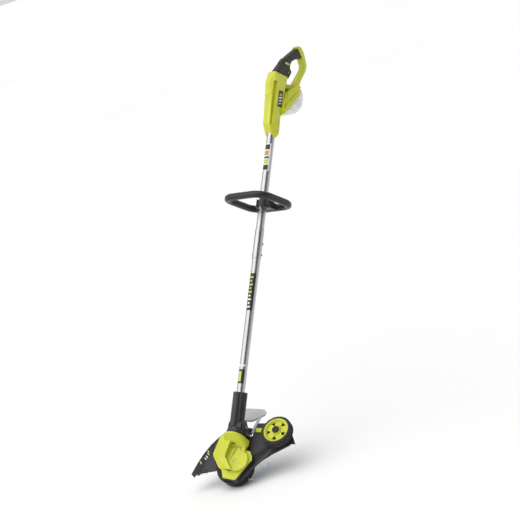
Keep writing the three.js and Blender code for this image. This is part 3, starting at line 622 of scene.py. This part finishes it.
def head_marks(name, node, marks, low, high):
    """Thin plates on a node's front, each at the height of the surface under its middle."""
    for i, (points, paint_name) in enumerate(marks):
        x, z = centre(points)
        found = surface(node, HEAD, (x, -RAY_START, z), (0, 1, 0))
        if found is not None:
            prism(f"{name}_{i}", points, on_head(found.y), low, high, HEAD, node, paint_name)


def cover_marks():
    """The dark triangle on the motor cover's inner face, and the long rib and short marks in painted
    shade.
    """
    marks = [([(-3, -49), (12, -50), (9, -57), (0, -58)], "black_mark"),
             # The rib and short marks are painted shade: darker lime plates standing for the shade in the
             # cover's moulding.
             (bar((3, -56), (-1, -66), 3.0), "lime_painted_shade"),
             (bar((12, -56), (7, -86), 4.2), "lime_painted_shade"), (bar((7, -84), (2, -102), 2.6), "lime_painted_shade"),
             (bar((17, -56), (27, -66), 2.4), "lime_painted_shade"), (bar((27, -66), (30, -72), 2.4), "lime_painted_shade"),
             (bar((12, -99), (22, -102), 2.0), "lime_painted_shade"), (bar((10, -106), (19, -109), 2.0), "lime_painted_shade")]
    head_marks("cover_mark", "motor_cover", marks, -0.6, 0.3)


def guard_marks():
    """A row of generic marks and an inset line on the guard's left fin."""
    dashes = [((-98, -66), (-92, -72), "lime_mark"), ((-96, -74), (-89, -80), "lime_mark"),
              ((-97, -84), (-90, -90), "white_mark"), ((-100, -91), (-93, -97), "white_mark"),
              ((-112, -104), (-104, -112), "lime_mark")]
    inset = [(-88, -24), (-104, -42), (-115, -72), (-121, -104), (-122, -132)]
    marks = [(bar(start, end, 3.2), paint_name) for start, end, paint_name in dashes]
    marks += [(bar(start, end, 1.3), "black_mark") for start, end in zip(inset, inset[1:])]
    head_marks("guard_mark", "guard", marks, -0.4, 0.15)


tyre()
loop_bar()
lower_label()
upper_label()
foot_labels()
badge_bars()
housing_line()
trigger_line()
cover_marks()
guard_marks()

for node_name, node_object in frame["nodes"].items():
    if not node_object.hide_render:
        smooth(node_object, NODE_SHADING_ANGLE)


# ------------------------------------------------------------------ stage, light and camera


def floor():
    half = 60.0
    mesh = bpy.data.meshes.new("floor")
    corners = [(-half, -half, 0), (half, -half, 0), (half, half, 0), (-half, half, 0)]
    mesh.from_pydata(corners, [], [(0, 1, 2, 3)])
    piece = link("floor", mesh)
    piece.location.z = CAD_LOW.z - 0.0002
    n = Nodes("pale_floor")
    drift = n.spread(n.noise(0.8), 0.0, 1.0)
    n.link(n.mix(drift, (0.88, 0.88, 0.88), (0.91, 0.91, 0.91)), n.shader.inputs["Base Color"])
    n.shader.inputs["Roughness"].default_value = 0.9
    n.shader.inputs["Specular IOR Level"].default_value = 0.1
    mesh.materials.append(n.material)


# The studio's brightness in each direction, blended in this order.
SKY = 0.68  # everywhere else: the backdrop and the ground
DARK = 0.10  # behind the camera
SIDE = 0.45  # low on the right
LEFT = 1.25  # a low broad light on the left
KEY = 2.1  # a high light on the left, a little towards the camera


def world_light(toward, left, above):
    """A pale studio that is dark behind the camera, with two soft lights on the left."""
    world = bpy.data.worlds.new("studio")
    bpy.context.scene.world = world
    world.use_nodes = True
    tree = world.node_tree
    background = tree.nodes["Background"]
    place = tree.nodes.new("ShaderNodeTexCoord").outputs["Generated"]

    def spot(direction, inner, outer):
        dot = tree.nodes.new("ShaderNodeVectorMath")
        dot.operation = "DOT_PRODUCT"
        tree.links.new(place, dot.inputs[0])
        dot.inputs[1].default_value = direction.normalized()
        fade = tree.nodes.new("ShaderNodeMapRange")
        fade.interpolation_type = "SMOOTHSTEP"
        fade.inputs["From Min"].default_value = math.cos(outer * DEG)
        fade.inputs["From Max"].default_value = math.cos(inner * DEG)
        tree.links.new(dot.outputs["Value"], fade.inputs["Value"])
        return fade.outputs["Result"]

    def blend(factor, first, second):
        mix = tree.nodes.new("ShaderNodeMix")
        tree.links.new(factor, mix.inputs["Factor"])
        if isinstance(first, float):
            mix.inputs["A"].default_value = first
        else:
            tree.links.new(first, mix.inputs["A"])
        mix.inputs["B"].default_value = second
        return mix.outputs["Result"]

    light = blend(spot(toward + above * 0.55 + left * 0.05, 32, 60), SKY, DARK)
    light = blend(spot(toward * 0.1 - left * 1.0 + above * 0.3, 10, 40), light, SIDE)
    light = blend(spot(left * 1.0 + toward * 0.25 + above * 0.15, 26, 50), light, LEFT)
    light = blend(spot(left * 0.55 + toward * 0.4 + above * 1.3, 26, 50), light, KEY)
    tree.links.new(light, background.inputs["Strength"])
    background.inputs["Color"].default_value = (1.0, 1.0, 1.0, 1.0)


CAMERA_SIDE = 46 * DEG  # round the shaft, from the user's left towards the front
CAMERA_DROP = -12.4 * DEG  # below the square view of the shaft
CAMERA_ROLL = 6.7 * DEG
CAMERA_DISTANCE = 4600
CAMERA_AIM = Vector((0, 0, 520))  # a point on the shaft
CAMERA_SHIFT = 11.4  # to the picture's right
LENS = 104.4


def camera():
    side, drop, roll = CAMERA_SIDE, CAMERA_DROP, CAMERA_ROLL
    right = Vector((math.sin(side), math.cos(side), 0))
    up = Vector((-math.sin(drop) * math.cos(side), math.sin(drop) * math.sin(side), math.cos(drop)))
    back = Vector((math.cos(drop) * math.cos(side), -math.cos(drop) * math.sin(side), math.sin(drop)))
    turned_right = right * math.cos(roll) + up * math.sin(roll)
    turned_up = up * math.cos(roll) - right * math.sin(roll)
    place = CAMERA_AIM + turned_right * CAMERA_SHIFT + back * CAMERA_DISTANCE
    data = bpy.data.cameras.new("camera")
    data.lens = LENS
    data.sensor_width = 36
    data.clip_end = 200
    made = bpy.data.objects.new("camera", data)
    bpy.context.scene.collection.objects.link(made)
    turn = TOOL.to_3x3().normalized()
    rotation = Matrix((turn @ turned_right, turn @ turned_up, turn @ back)).transposed()
    made.matrix_world = Matrix.Translation(TOOL @ place) @ rotation.to_4x4()
    bpy.context.scene.camera = made
    return turn @ turned_right, turn @ back


floor()
picture_right, toward_camera = camera()
toward_level = Vector((toward_camera.x, toward_camera.y, 0)).normalized()
left_level = Vector((-picture_right.x, -picture_right.y, 0)).normalized()
world_light(toward_level, left_level, Vector((0, 0, 1)))
bpy.context.scene.view_settings.view_transform = "Standard"
